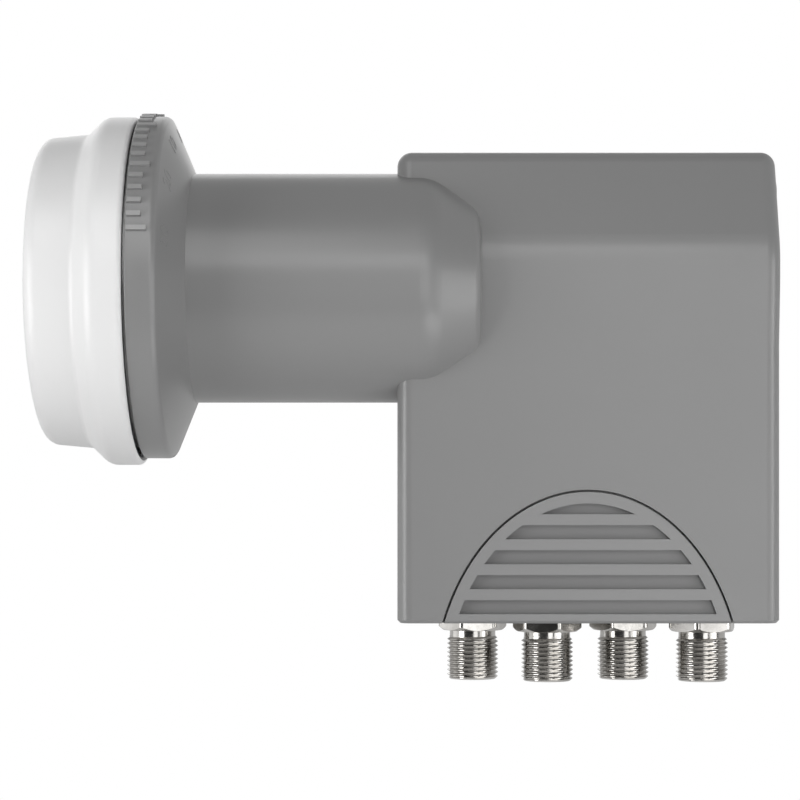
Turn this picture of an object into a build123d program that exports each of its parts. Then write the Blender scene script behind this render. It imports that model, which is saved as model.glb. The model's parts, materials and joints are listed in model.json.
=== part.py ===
from build123d import *
import os
from math import radians, tan

# A satellite receiver head with four outputs. A moulded grey shroud carries the clamp
# neck and the box. A scalar horn sits in its flange behind a white cap, and screws into
# a cast chamber with a board on each side of its web. Four threaded outputs leave the
# chamber downwards, and a weather sleeve slides down out of the box over the plugs.
#
# Sizes are in millimetres. X runs along the neck from the horn to the box, Z is up and
# -Y is the near side. The origin is on the neck's axis, half way along the clamp neck.

# Neck and its end on the face of the box
NECK_R = 20.0
NECK_HALF_LENGTH = 17.65
NECK_WALL = 2.0
BOSS_STRAIGHT = 5.7
BOSS_TAPER_LENGTH = 8.55
BOSS_TAPER_FALL = 4.4
BOSS_SHOULDER_ROUND = 8.0
BOSS_END_ROUND = 2.0

# Flange with its skew scale
FLANGE_R = 29.8
FLANGE_WIDTH = 4.85
CONE_LENGTH = 4.1
FLANGE_ROUND = 1.2
FLANGE_EDGE = 0.3
FLANGE_WALL = 2.3
RECESS_DEPTH = 3.3
SEAT_WIDTH = 2.0
SCALE_STEP_DEG = 4.75
SCALE_STEPS = 15
SCALE_LONG_EVERY = 5
SCALE_TURN_DEG = 5.4
SCALE_HEIGHT = 0.5
SHORT_MARK = (2.3, 0.8)
LONG_MARK = (3.3, 0.8)

# Box
BOX_LENGTH = 65.5
BOX_TOP = 23.2
BOX_BOTTOM = -58.2
BOX_NEAR = -11.2
BOX_WALL = 2.0
BOX_END_ROUND = 2.5
BOX_TOP_ROUND = 3.0
MID_Y = 10.0
CREASE_Z = -10.2
CREASE_ROUND = 20.0
BULGE = 1.05
BULGE_LOW_Z = 0.2
BULGE_LOW_ROUND = 50.0
BULGE_HIGH_Z = 6.0
BULGE_HIGH_ROUND = 14.0
TOP_INSET = 4.7

# Rear cover, let into the end of the box
COVER_MARGIN = 5.5
COVER_CORNER = 3.0
REBATE = 1.0
REBATE_WIDTH = 1.2
COVER_GAP = 0.15
HOOK_WIDTH = 5.0
HOOK_THICK = 1.5
HOOK_REACH = 4.0
HOOK_BARB = 1.0
HOOK_OFFSET_Y = 6.0
BEAD_SIZE = 1.2
BEAD_LOW_Z = -18.0
BEAD_HIGH_Z = 4.0

# Weather sleeve, with a finger pad in an arch on each face
SLEEVE_WALL = 1.5
SLEEVE_GAP = 0.3
SLEEVE_HEIGHT = 34.2
SLEEVE_CORNER = 2.0
SLEEVE_TRAVEL = 25.0
ARCH_OFFSET_X = -0.25
ARCH_HALF_WIDTH = 26.45
ARCH_RISE = 35.2
ARCH_HEIGHT = 22.64
ARCH_GAP = 0.4
ARCH_RIM = 2.15
SLOT_COUNT = 5
SLOT_HEIGHT = 2.4
SLOT_PITCH = 4.26
SLOT_DEPTH = 1.25
SLOT_LOWEST = 1.6
TAB_WIDTH = 7.4
TAB_HEIGHT = 2.0
TAB_DROP = 1.0
TAB_REACH = 0.7
TAB_GAP = 0.3
STOP_GAP = 0.3
GROOVE_DEPTH = 0.9
LOWER_EDGE = 0.5

# White horn cap
CAP_OVERHANG = 0.5
CAP_SEAM = 0.4
CAP_LENGTH = 16.8
CAP_RIM_LENGTH = 5.5
CAP_STEP_LENGTH = 3.0
CAP_STEP_HEIGHT = 2.95
CAP_TAPER = 0.75
CAP_WALL = 1.5
CAP_REAR_ROUND = 0.9
CAP_STEP_ROUND = 3.0
CAP_FOOT_ROUND = 1.5
CAP_FRONT_ROUND = 2.4
CAP_DROP = 0.65
CAP_BEAD = 0.4
CAP_BEAD_WIDTH = 0.5

# Scalar horn
GUIDE_R = 8.75
GUIDE_WALL = 1.3
TAIL_INSET = 1.15
THROAT_INSET = 0.65
MOUTH_R = 10.8
MOUTH_REACH = 3.4
THROAT_LENGTH = 3.0
RING_WALL = 0.9
RING_STEP = 1.8
RING_COUNT = 4
RING_DEPTH = 7.5
RING_GAP = 0.55
LIP_GAP = 0.2
LIP_LENGTH = 4.8
SEAL_R = 0.9
SEAL_GROOVE_INSET = 1.75
SEAL_GROOVE_DEPTH = 1.65
BEAD_GROOVE_INSET = 1.0
BEAD_GROOVE_WIDTH = 1.0
FIN_THICK = 1.6
FIN_GAP = 0.3
FIN_COUNT = 4
FIN_START = 4.0

# Cast chamber: a tray on each side of a central web
CAST_GAP = 0.35
CAST_FACE_GAP = 0.4
CAST_LIFT = 0.55
CAST_WALL = 2.0
CAST_FLOOR = 4.0
CAST_CORNER = 2.5
WEB = 1.4
STEP_WIDTH = 11.7
STEP_DROP = 3.95
COLLAR_R = 13.0
COLLAR_LENGTH = 6.5
COLLAR_GAP = 0.05
GUIDE_END_DEPTH = 13.2
GUIDE_END_WALL = 1.3
GASKET = 0.5
GASKET_INSET = 0.2
LID = 1.5
SCREW_INSET = 3.6
PILLAR_R = 2.8
SCREW_R = 1.2
SCREW_HEAD_R = 2.2
SCREW_HEAD_DEPTH = 1.0
SCREW_LENGTH = 7.0
HOLE_GAP = 0.05
RIB_COUNT = 3
RIB_PITCH = 14.0
RIB_INSET = 8.5
RIB_HEIGHT = 7.4
RIB_THICK = 1.5
RIB_HALF_WIDTH = 9.0
RIB_GAP = 0.3

# Boards and what stands on them, by their distance left of and below the chamber's corner
BOARD = 0.9
BOARD_GAP = 0.05
BOARD_EDGE_GAP = 0.3
NEAR_SCREW_SPOTS = ((31.0, 9.5), (13.0, 47.5))
FAR_SCREW_SPOTS = ((25.0, 9.5), (9.0, 39.5))
TRANSISTOR_SPOTS = ((46.0, 9.5), (41.0, 9.5), (46.0, 25.5), (46.0, 35.5))
TRANSISTOR = {"size": 1.6, "height": 0.6, "legs": 2, "leg_size": 0.5}
MIXER_SPOTS = ((33.0, 51.5), (19.0, 51.5))
MIXER = {"size": 4.0, "height": 0.9, "legs": 4, "leg_size": 0.6}
SWITCH_SPOTS = ((23.0, 35.5),)
SWITCH = {"size": 7.0, "height": 1.2, "legs": 8, "leg_size": 0.8}
REGULATOR_SPOTS = ((33.0, 23.5), (9.0, 23.5))
REGULATOR = {"size": 6.0, "height": 1.8, "legs": 3, "leg_size": 1.2}
CAPACITOR_SPOTS = ((41.0, 51.5), (27.0, 51.5), (19.0, 57.5))
CAPACITOR_R = 2.0
CAPACITOR_HEIGHT = 5.5
CAPACITOR_BASE = 1.0
CAPACITOR_BASE_EDGE = 0.2
FENCE_SPOT = (42.0, 17.5)
FENCE_WIDTH = 26.0
FENCE_LENGTH = 26.0
FENCE_THICK = 0.5
FENCE_HEIGHT = 12.0
PUCK_R = 2.7
PUCK_HEIGHT = 2.3
TUNER_R = 2.0
TUNER_LENGTH = 9.0
TUNER_SLOT = 0.6
PROBE_R = 0.5
BEAD_R = 1.2
PROBE_SETBACK = 5.1
BENT_SETBACK = 1.5
PIN_SETBACK = 3.0
PROBE_DEPTH = 4.5
PIN_R = 0.75
BENT_DROP = 2.6

# Threaded outputs, spread evenly between the chamber's ends, each a little off its place
PORT_LEFT_INSET = 9.5
PORT_RIGHT_INSET = 6.7
PORT_SHIFTS = ((0.0, 2.2), (-0.45, -2.3), (0.0, 2.2), (0.0, -2.3))
PORT_TURNS_DEG = (10.0, -13.5, 10.0, 19.0)
PORT_REACH = 11.3
HEX_FLATS = 11.0
HEX_THICK = 3.0
HEX_CHAMFER = 0.5
THREAD_R = 4.65
THREAD_CHAMFER = 0.5
RELIEF_R = 4.14
RELIEF_LENGTH = 1.1
SHANK_R = 4.0
PORT_BORE_R = 3.1
PORT_LIP = 0.6
CONTACT_R = 0.95
CONTACT_BORE_R = 0.45
CONTACT_PIN_R = 0.5
CONTACT_RISE = 6.65
O_RING_OUTER_R = 5.25
O_RING_THICK = 0.75

# Places and sizes that follow from the ones above, along the neck's axis
BORE_R = NECK_R - NECK_WALL
RECESS_R = FLANGE_R - FLANGE_WALL
FLANGE_CONE_X = -NECK_HALF_LENGTH - CONE_LENGTH
FLANGE_FRONT_X = FLANGE_CONE_X - FLANGE_WIDTH
BOX_LEFT = NECK_HALF_LENGTH
BOX_RIGHT = BOX_LEFT + BOX_LENGTH
BOX_MID_X = BOX_LEFT + BOX_LENGTH / 2
BOSS_TAPER_X = BOX_LEFT + BOSS_STRAIGHT
BOSS_END_X = BOSS_TAPER_X + BOSS_TAPER_LENGTH
CAP_R = FLANGE_R + CAP_OVERHANG
CAP_FRONT_R = CAP_R - CAP_STEP_HEIGHT
CAP_REAR_X = FLANGE_FRONT_X - CAP_SEAM
CAP_STEP_X = CAP_REAR_X - CAP_RIM_LENGTH
CAP_FRONT_X = CAP_REAR_X - CAP_LENGTH
GUIDE_OUTER_R = GUIDE_R + GUIDE_WALL
HORN_TAIL_X = BOX_LEFT - TAIL_INSET
HORN_THROAT_X = -NECK_HALF_LENGTH + THROAT_INSET
LIP_R = CAP_R - CAP_WALL - CAP_DROP - LIP_GAP
LIP_FRONT_X = FLANGE_FRONT_X - LIP_LENGTH
MOUTH_X = LIP_FRONT_X - MOUTH_REACH
RING_OUTER_R = CAP_FRONT_R - CAP_TAPER - CAP_WALL - CAP_DROP - RING_GAP
RING_PITCH = (RING_OUTER_R - RING_WALL - MOUTH_R) / (RING_COUNT - 1)
SEAL_GROOVE_X = LIP_FRONT_X + SEAL_GROOVE_INSET
BEAD_GROOVE_X = FLANGE_FRONT_X - BEAD_GROOVE_INSET
GUIDE_END_X = HORN_TAIL_X + GUIDE_END_DEPTH
PROBE_SPOT_X = GUIDE_END_X - PROBE_SETBACK
BENT_SPOT_X = GUIDE_END_X - BENT_SETBACK
PIN_SPOT_X = GUIDE_END_X - PIN_SETBACK

# Places inside the box
BOX_FAR = 2 * MID_Y - BOX_NEAR
INNER_LEFT = BOX_LEFT + BOX_WALL
INNER_RIGHT = BOX_RIGHT - BOX_WALL
INNER_NEAR = BOX_NEAR + BOX_WALL
INNER_FAR = BOX_FAR - BOX_WALL
SLEEVE_TOP = BOX_BOTTOM + SLEEVE_HEIGHT
TAB_TOP = SLEEVE_TOP - TAB_DROP
ARCH_X = BOX_MID_X + ARCH_OFFSET_X
ARCH_TOP_Z = BOX_BOTTOM + ARCH_HEIGHT
ARCH_CENTRE_Z = ARCH_TOP_Z - ARCH_RISE
CAST_LEFT = INNER_LEFT + SLEEVE_GAP + SLEEVE_WALL + CAST_GAP
CAST_RIGHT = INNER_RIGHT - SLEEVE_GAP - SLEEVE_WALL - CAST_GAP
CAST_TOP = BOX_TOP - BOX_WALL - RIB_HEIGHT - RIB_GAP
CAST_BOTTOM = BOX_BOTTOM + CAST_LIFT
NEAR_RIM = INNER_NEAR + SLEEVE_GAP + SLEEVE_WALL + CAST_FACE_GAP + LID + GASKET
FAR_RIM = 2 * MID_Y - NEAR_RIM
STEP_X = CAST_LEFT + STEP_WIDTH
STEP_Z = -GUIDE_OUTER_R - STEP_DROP
RIB_XS = [STEP_X + RIB_INSET + rib * RIB_PITCH for rib in range(RIB_COUNT)]
WEB_NEAR = MID_Y - WEB / 2
WEB_FAR = MID_Y + WEB / 2
NEAR_BOARD = WEB_NEAR - BOARD_GAP - BOARD
FAR_BOARD = WEB_FAR + BOARD_GAP + BOARD
FLOOR_TOP = CAST_BOTTOM + CAST_FLOOR
NEAR_SCREWS = (
    (CAST_LEFT + SCREW_INSET, CAST_BOTTOM + SCREW_INSET),
    (CAST_RIGHT - SCREW_INSET, CAST_BOTTOM + SCREW_INSET),
    (CAST_LEFT + SCREW_INSET, STEP_Z - SCREW_INSET),
    (STEP_X + SCREW_INSET, CAST_TOP - SCREW_INSET),
    (CAST_RIGHT - SCREW_INSET, CAST_TOP - SCREW_INSET),
)
FAR_SCREWS = (
    (CAST_LEFT + SCREW_INSET, CAST_BOTTOM + SCREW_INSET),
    (CAST_RIGHT - SCREW_INSET, CAST_BOTTOM + SCREW_INSET),
    (CAST_LEFT + SCREW_INSET, CAST_TOP - SCREW_INSET),
    (CAST_RIGHT - SCREW_INSET, CAST_TOP - SCREW_INSET),
)
PORT_FIRST_X = CAST_LEFT + PORT_LEFT_INSET
PORT_PITCH = (CAST_RIGHT - PORT_RIGHT_INSET - PORT_FIRST_X) / (len(PORT_SHIFTS) - 1)
PORT_SPOTS = [
    (PORT_FIRST_X + port * PORT_PITCH + x, MID_Y + y) for port, (x, y) in enumerate(PORT_SHIFTS)
]
PORT_END_Z = BOX_BOTTOM - PORT_REACH
HEX_BOTTOM = CAST_BOTTOM - HEX_THICK
CONTACT_TOP_Z = FLOOR_TOP + CONTACT_RISE


# Helpers


def block(x0, x1, y0, y1, z0, z1):
    """A box between two corners."""
    centre = Pos((x0 + x1) / 2, (y0 + y1) / 2, (z0 + z1) / 2)
    return centre * Box(x1 - x0, y1 - y0, z1 - z0)


def rect(x0, x1, y0, y1, corner=0.0):
    """A flat rectangle between two corners, with rounded corners where asked."""
    centre = Pos((x0 + x1) / 2, (y0 + y1) / 2)
    if corner > 0:
        return centre * RectangleRounded(x1 - x0, y1 - y0, corner)
    return centre * Rectangle(x1 - x0, y1 - y0)


def slab(outline, y0, y1):
    """An outline drawn in X and Z, made solid from y0 to y1."""
    return extrude(Plane.XZ.offset(-y1) * outline, amount=y1 - y0)


def end_slab(outline, x0, x1):
    """An outline drawn in Y and Z, made solid from x0 to x1."""
    return extrude(Plane.YZ.offset(x0) * outline, amount=x1 - x0)


def upright(outline, z0, z1):
    """An outline drawn in X and Y, made solid from z0 to z1."""
    return extrude(Pos(0, 0, z0) * outline, amount=z1 - z0)


def turned(line):
    """A closed line of X and radius, turned about the neck's axis."""
    return revolve(make_face(line), Axis.X)


def lathe(points):
    """Points of radius and Z, turned about the Z axis."""
    return revolve(Plane.XZ * make_face(Polyline(*points, close=True)), Axis.Z)


def rod_y(x, z, radius, y0, y1):
    """A rod across the chamber, from y0 to y1."""
    return slab(Pos(x, z) * Circle(radius), y0, y1)


def joined(first, others):
    """One solid from several that touch."""
    for other in others:
        first = first + other
    return first


def group(solids):
    """Separate solids under one name."""
    return Compound(children=[Solid(s.solid().wrapped) for s in solids])


# Shroud, rear cover and weather sleeve


def box_outline(bottom):
    """The box across its length: flat below, a bulge level with the neck, then sloped."""
    near = [
        (BOX_NEAR, bottom),
        (BOX_NEAR, CREASE_Z),
        (BOX_NEAR - BULGE, BULGE_LOW_Z),
        (BOX_NEAR - BULGE, BULGE_HIGH_Z),
        (BOX_NEAR + TOP_INSET, BOX_TOP),
    ]
    radii = [0, CREASE_ROUND, BULGE_LOW_ROUND, BULGE_HIGH_ROUND, BOX_TOP_ROUND]
    far = [(2 * MID_Y - y, z) for y, z in reversed(near)]
    line = FilletPolyline(*near, *far, radius=radii + radii[::-1], close=True)
    return make_face(line)


def box_body():
    """The box's outside, with both ends rounded over but for the open bottom."""
    body = end_slab(box_outline(BOX_BOTTOM), BOX_LEFT, BOX_RIGHT)
    ends = body.faces().filter_by(Axis.X)
    edges = [e for f in ends for e in f.edges() if e.center().Z > BOX_BOTTOM + LOWER_EDGE]
    body = fillet(edges, BOX_END_ROUND)
    return chamfer(body.faces().sort_by(Axis.Z)[0].edges(), LOWER_EDGE)


def box_cavity():
    """The room inside the box's walls, open below."""
    outline = offset(box_outline(BOX_BOTTOM - 2 * BOX_WALL), amount=-BOX_WALL)
    return end_slab(outline, INNER_LEFT, INNER_RIGHT)


def neck_body():
    """Flange, clamp neck and the tapered neck end that stands out of the box's face."""
    line = FilletPolyline(
        (FLANGE_FRONT_X, 0),
        (FLANGE_FRONT_X, FLANGE_R),
        (FLANGE_CONE_X, FLANGE_R),
        (-NECK_HALF_LENGTH, NECK_R),
        (BOSS_TAPER_X, NECK_R),
        (BOSS_END_X, NECK_R - BOSS_TAPER_FALL),
        (BOSS_END_X, 0),
        radius=[0, FLANGE_EDGE, FLANGE_ROUND, 0, BOSS_SHOULDER_ROUND, BOSS_END_ROUND, 0],
        close=True,
    )
    return turned(line)


def neck_bore():
    """The recess for the horn and the bore behind it, one wall inside the outside."""
    seat_x = FLANGE_FRONT_X + RECESS_DEPTH
    line = Polyline(
        (FLANGE_FRONT_X - NECK_WALL, 0),
        (FLANGE_FRONT_X - NECK_WALL, RECESS_R),
        (seat_x, RECESS_R),
        (seat_x, RECESS_R - SEAT_WIDTH),
        (-NECK_HALF_LENGTH - NECK_WALL, BORE_R),
        (BOSS_TAPER_X, BORE_R),
        (BOSS_END_X - NECK_WALL, BORE_R - BOSS_TAPER_FALL + NECK_WALL / 3),
        (BOSS_END_X - NECK_WALL, 0),
        close=True,
    )
    return turned(line)


def scale_marks():
    """Raised marks round the top of the flange, every fifth one long."""
    marks = []
    for step in range(-SCALE_STEPS, SCALE_STEPS + 1):
        length, width = LONG_MARK if step % SCALE_LONG_EVERY == 0 else SHORT_MARK
        bar = block(0, length, -width / 2, width / 2, -SCALE_HEIGHT, SCALE_HEIGHT)
        turn = Rot(step * SCALE_STEP_DEG + SCALE_TURN_DEG, 0, 0)
        marks.append(turn * Pos(FLANGE_FRONT_X + FLANGE_EDGE, 0, FLANGE_R) * bar)
    return marks


def arch(grow=0.0, trim=0.0):
    """The arch's outline, an ellipse cut off by the bottom of the box."""
    across, up = ARCH_HALF_WIDTH + grow, ARCH_RISE + grow
    half = rect(ARCH_X - across, ARCH_X + across, BOX_BOTTOM + trim, ARCH_CENTRE_Z + up)
    return (Pos(ARCH_X, ARCH_CENTRE_Z) * Ellipse(across, up)) & half


def cover_opening(margin):
    """The opening in the box's end: a notch up from the open bottom."""
    return rect(
        BOX_NEAR + margin,
        BOX_FAR - margin,
        BOX_BOTTOM - 3 * COVER_CORNER,
        BOX_TOP - margin,
        COVER_CORNER,
    )


def tab_groove(x0, x1):
    """The groove that a sleeve tab runs in, as long as the travel."""
    half = TAB_WIDTH / 2 + TAB_GAP
    low = TAB_TOP - TAB_HEIGHT - SLEEVE_TRAVEL - STOP_GAP
    return block(x0, x1, MID_Y - half, MID_Y + half, low, TAB_TOP + STOP_GAP)


def make_shroud():
    shroud = box_body() + neck_body() - box_cavity() - neck_bore()
    shroud = joined(shroud, scale_marks())
    for rib_x in RIB_XS:
        half = RIB_THICK / 2
        shroud += block(
            rib_x - half,
            rib_x + half,
            MID_Y - RIB_HALF_WIDTH,
            MID_Y + RIB_HALF_WIDTH,
            CAST_TOP + RIB_GAP,
            BOX_TOP - BOX_WALL / 2,
        )
    gap = ARCH_GAP / 2
    cut = arch(gap, -BOX_WALL)
    shroud -= slab(cut, BOX_NEAR - BOX_WALL, INNER_NEAR + BOX_WALL)
    shroud -= slab(cut, INNER_FAR - BOX_WALL, BOX_FAR + BOX_WALL)
    shroud -= end_slab(cover_opening(COVER_MARGIN), INNER_RIGHT - BOX_WALL, BOX_RIGHT + BOX_WALL)
    rebate = cover_opening(COVER_MARGIN - REBATE_WIDTH)
    shroud -= end_slab(rebate, BOX_RIGHT - REBATE, BOX_RIGHT + BOX_WALL)
    shroud -= tab_groove(INNER_LEFT - GROOVE_DEPTH, INNER_LEFT + BOX_WALL)
    return shroud.solid()


def make_rear_cover():
    above = rect(BOX_NEAR, BOX_FAR, BOX_BOTTOM, BOX_TOP)
    plate = cover_opening(COVER_MARGIN - REBATE_WIDTH + COVER_GAP) & above
    plug = cover_opening(COVER_MARGIN + COVER_GAP) & above
    cover = end_slab(plate, BOX_RIGHT - REBATE + COVER_GAP, BOX_RIGHT)
    cover += end_slab(plug, INNER_RIGHT, BOX_RIGHT - REBATE + COVER_GAP)
    hook_top = BOX_TOP - COVER_MARGIN - 2 * COVER_GAP
    barb_x = INNER_RIGHT - COVER_GAP
    for side in (-HOOK_OFFSET_Y, HOOK_OFFSET_Y):
        y0 = MID_Y + side - HOOK_WIDTH / 2
        y1 = MID_Y + side + HOOK_WIDTH / 2
        foot = INNER_RIGHT + BOX_WALL / 2
        cover += block(INNER_RIGHT - HOOK_REACH, foot, y0, y1, hook_top - HOOK_THICK, hook_top)
        barb = Polyline(
            (barb_x, hook_top - HOOK_THICK),
            (barb_x, hook_top + HOOK_BARB),
            (barb_x - HOOK_BARB / 2, hook_top + HOOK_BARB),
            (INNER_RIGHT - HOOK_REACH, hook_top - HOOK_THICK),
            close=True,
        )
        cover += slab(make_face(barb), y0, y1)
    for edge, way in ((BOX_NEAR + COVER_MARGIN, 1), (BOX_FAR - COVER_MARGIN, -1)):
        inner = edge + way * 2 * COVER_GAP
        stem = sorted((inner, inner + way * BEAD_SIZE))
        bead = sorted((inner - way * BEAD_SIZE, inner + way * BEAD_SIZE))
        low_x = INNER_RIGHT - COVER_GAP - BEAD_SIZE
        cover += block(low_x, INNER_RIGHT + BOX_WALL / 4, *stem, BEAD_LOW_Z, BEAD_HIGH_Z)
        cover += block(low_x, INNER_RIGHT - COVER_GAP, *bead, BEAD_LOW_Z, BEAD_HIGH_Z)
    cover -= tab_groove(INNER_RIGHT - BOX_WALL, INNER_RIGHT + GROOVE_DEPTH)
    return cover.solid()


def finger_slots():
    """The slots' outlines, cut off by an inner ellipse so that a rim runs round them."""
    inner = arch(-ARCH_RIM)
    strips = []
    for row in range(SLOT_COUNT):
        low = BOX_BOTTOM + SLOT_LOWEST + row * SLOT_PITCH
        strip = rect(ARCH_X - ARCH_HALF_WIDTH, ARCH_X + ARCH_HALF_WIDTH, low, low + SLOT_HEIGHT)
        strips.append(strip & inner)
    return strips


def finger_pad(y0, y1, outer_y):
    """The pad that fills the arch, with its lower outer edge taken off."""
    pad = slab(arch(-ARCH_GAP / 2), y0, y1)
    edges = pad.edges().filter_by(Axis.X).group_by(Axis.Z)[0]
    return chamfer([e for e in edges if abs(e.center().Y - outer_y) < HOLE_GAP], LOWER_EDGE)


def make_weather_slider():
    x0, x1 = INNER_LEFT + SLEEVE_GAP, INNER_RIGHT - SLEEVE_GAP
    y0, y1 = INNER_NEAR + SLEEVE_GAP, INNER_FAR - SLEEVE_GAP
    wall = SLEEVE_WALL
    outer = rect(x0, x1, y0, y1, SLEEVE_CORNER)
    inner = rect(x0 + wall, x1 - wall, y0 + wall, y1 - wall, SLEEVE_CORNER - wall)
    sleeve = upright(outer - inner, BOX_BOTTOM, SLEEVE_TOP)
    sleeve += finger_pad(BOX_NEAR, y0 + wall / 2, BOX_NEAR)
    sleeve += finger_pad(y1 - wall / 2, BOX_FAR, BOX_FAR)
    for slot in finger_slots():
        sleeve -= slab(slot, BOX_NEAR - 1, BOX_NEAR + SLOT_DEPTH)
        sleeve -= slab(slot, BOX_FAR - SLOT_DEPTH, BOX_FAR + 1)
    half = TAB_WIDTH / 2
    for left, right in ((x0 - TAB_REACH, x0 + wall / 2), (x1 - wall / 2, x1 + TAB_REACH)):
        sleeve += block(left, right, MID_Y - half, MID_Y + half, TAB_TOP - TAB_HEIGHT, TAB_TOP)
    return sleeve.solid()


# Cap and horn


def cap_line(inset):
    """The cap's outline, or a line one wall inside it."""
    shift = inset * tan(radians(22.5))
    foot_x = CAP_STEP_X - CAP_STEP_LENGTH
    rounds = [
        CAP_REAR_ROUND if inset == 0 else 0,
        CAP_STEP_ROUND - inset,
        CAP_FOOT_ROUND + inset,
        CAP_FRONT_ROUND - inset,
    ]
    return FilletPolyline(
        (CAP_REAR_X, 0),
        (CAP_REAR_X, CAP_R - inset),
        (CAP_STEP_X + shift, CAP_R - inset),
        (foot_x + shift, CAP_FRONT_R - inset),
        (CAP_FRONT_X + inset, CAP_FRONT_R - CAP_TAPER - inset),
        (CAP_FRONT_X + inset, 0),
        radius=[0, *rounds, 0],
        close=True,
    )


def make_cap():
    """The cap hangs a little low on the horn's lip, held by its bead."""
    cap = turned(cap_line(0)) - turned(cap_line(CAP_WALL))
    half = CAP_BEAD_WIDTH / 2
    inner = CAP_R - CAP_WALL - CAP_BEAD
    bead = Polyline(
        (BEAD_GROOVE_X - half, inner),
        (BEAD_GROOVE_X + half, inner),
        (BEAD_GROOVE_X + half, CAP_R - CAP_WALL / 2),
        (BEAD_GROOVE_X - half, CAP_R - CAP_WALL / 2),
        close=True,
    )
    return (Pos(0, 0, -CAP_DROP) * (cap + turned(bead))).solid()


def make_cap_seal():
    centre = LIP_R - SEAL_GROOVE_DEPTH + SEAL_R
    return turned(Pos(SEAL_GROOVE_X, centre) * Circle(SEAL_R).edge()).solid()


def ring_radii(ring):
    """Inner and outer radius of one ring, counted from the mouth."""
    inner = MOUTH_R + ring * RING_PITCH
    return inner, inner + RING_WALL


def horn_front_points():
    """The mouth's rings and the grooves between them, from the outermost inwards."""
    points = []
    for ring in range(RING_COUNT - 1, -1, -1):
        inner, outer = ring_radii(ring)
        front = MOUTH_X - ring * RING_STEP
        points += [(front, outer), (front, inner)]
        if ring > 0:
            floor = front + RING_STEP + RING_DEPTH
            points += [(floor, inner), (floor, ring_radii(ring - 1)[1])]
    return points


def make_horn():
    groove = BEAD_GROOVE_WIDTH / 2
    groove_r = LIP_R - CAP_BEAD - CAP_DROP / 2
    seal_half = SEAL_R + HOLE_GAP
    seal_r = LIP_R - SEAL_GROOVE_DEPTH
    spigot_r = RECESS_R - FIN_GAP
    spigot_x = FLANGE_FRONT_X + RECESS_DEPTH - FIN_GAP
    outside = [
        (HORN_TAIL_X, GUIDE_OUTER_R),
        (HORN_THROAT_X + THROAT_LENGTH, GUIDE_OUTER_R),
        (-NECK_HALF_LENGTH - NECK_WALL, BORE_R - NECK_WALL),
        (spigot_x, BORE_R + NECK_WALL),
        (spigot_x, spigot_r),
        (FLANGE_FRONT_X, spigot_r),
        (FLANGE_FRONT_X, LIP_R),
        (BEAD_GROOVE_X + groove, LIP_R),
        (BEAD_GROOVE_X + groove, groove_r),
        (BEAD_GROOVE_X - groove, groove_r),
        (BEAD_GROOVE_X - groove, LIP_R),
        (SEAL_GROOVE_X + seal_half, LIP_R),
        (SEAL_GROOVE_X + seal_half, seal_r),
        (SEAL_GROOVE_X - seal_half, seal_r),
        (SEAL_GROOVE_X - seal_half, LIP_R),
        (LIP_FRONT_X, LIP_R),
        (LIP_FRONT_X, ring_radii(RING_COUNT - 1)[1]),
    ]
    inside = [(HORN_THROAT_X, GUIDE_R), (HORN_TAIL_X, GUIDE_R)]
    horn = turned(Polyline(*outside, *horn_front_points(), *inside, close=True))
    fin_end = HORN_TAIL_X - COLLAR_LENGTH - 1
    fin = block(
        HORN_THROAT_X + FIN_START,
        fin_end,
        -FIN_THICK / 2,
        FIN_THICK / 2,
        GUIDE_OUTER_R - GUIDE_WALL / 2,
        BORE_R - FIN_GAP,
    )
    for turn in range(FIN_COUNT):
        horn += Rot(45 + turn * 360 / FIN_COUNT, 0, 0) * fin
    return horn.solid()


# Chamber, lids, gaskets and screws


def far_outline(inset=0.0, floor=0.0):
    corner = max(CAST_CORNER - inset, 0.5)
    return rect(
        CAST_LEFT + inset,
        CAST_RIGHT - inset,
        CAST_BOTTOM + max(inset, floor),
        CAST_TOP - inset,
        corner,
    )


def near_outline(inset=0.0, floor=0.0):
    """The near tray leaves out the corner that the wave guide fills."""
    corner = max(CAST_CORNER - inset, 0.5)
    low = CAST_BOTTOM + max(inset, floor)
    right = CAST_RIGHT - inset
    wide = rect(CAST_LEFT + inset, right, low, STEP_Z - inset, corner)
    tall = rect(STEP_X + inset, right, low, CAST_TOP - inset, corner)
    return wide + tall


def guide_block():
    """The wave guide's blind end, with the collar that the horn screws into."""
    reach = GUIDE_OUTER_R
    collar_x = HORN_TAIL_X - COLLAR_LENGTH
    end_x = GUIDE_END_X + GUIDE_END_WALL
    tube = turned(rect(HORN_TAIL_X, end_x, 0, reach).wire())
    collar = turned(rect(collar_x, HORN_TAIL_X + CAST_WALL, 0, COLLAR_R).wire())
    shoulder = block(CAST_LEFT, STEP_X + CAST_WALL / 2, 0, WEB_FAR, -reach, reach)
    return tube + collar + shoulder


def guide_hollow():
    collar_x = HORN_TAIL_X - COLLAR_LENGTH
    socket = turned(rect(collar_x - 1, HORN_TAIL_X, 0, GUIDE_OUTER_R + COLLAR_GAP).wire())
    return socket + turned(rect(HORN_TAIL_X - 1, GUIDE_END_X, 0, GUIDE_R).wire())


def probe_holes():
    """Bead seats for both probes and the hole for the isolation pin."""
    wire_z = -GUIDE_OUTER_R - BENT_DROP
    straight = rod_y(PROBE_SPOT_X, 0, BEAD_R, 0, WEB_FAR + 1)
    bent = rod_y(BENT_SPOT_X, wire_z, BEAD_R, WEB_NEAR - 1, WEB_FAR + 1)
    entry = Pos(BENT_SPOT_X, 0, -GUIDE_OUTER_R) * Cylinder(BEAD_R, 2 * GUIDE_WALL + 1)
    pin = rod_y(PIN_SPOT_X, 0, PIN_R, -GUIDE_OUTER_R - 1, WEB_FAR + 1)
    return [straight, bent, entry, pin]


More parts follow.
